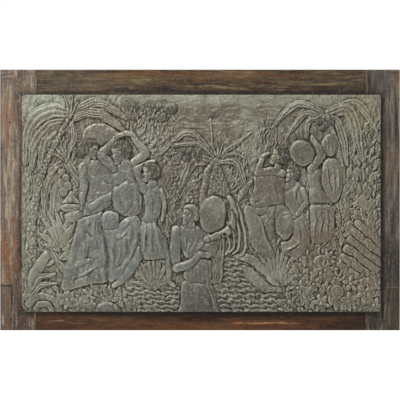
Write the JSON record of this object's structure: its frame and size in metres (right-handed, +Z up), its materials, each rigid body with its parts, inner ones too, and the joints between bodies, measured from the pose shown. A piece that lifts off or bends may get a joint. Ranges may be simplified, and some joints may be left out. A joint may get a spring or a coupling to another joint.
{
  "type": "metal relief wall plaque",
  "caption": "Rectangular cast metal plaque with a carved scene of women, palms and water, lying on a flat frame of dark wooden boards, made to hang on a wall.",
  "frame": {"origin": "on the flat back of the top rail, at the middle of its length and width, where the plaque rests on the wall", "axes": "+X along the length, to the right seen from the front; +Y into the wall, so the carved front faces -Y; +Z up"},
  "size_m": [0.96, 0.0447, 0.626],
  "materials": {
    "bronze": "aged grey-green patina, dull, brown in the hollows",
    "left_board": "old stained pine, worn, brown with orange patches",
    "right_board": "old stained wood, worn, dark grey-brown",
    "top_board": "old stained wood, worn, dark brown",
    "bottom_board": "old stained wood, worn, dark red-brown"
  },
  "bodies": {
    "root": {"relief_plaque": "bronze", "left_stile": "left_board", "right_stile": "right_board", "top_rail": "top_board", "bottom_rail": "bottom_board"}
  },
  "joints": []
}
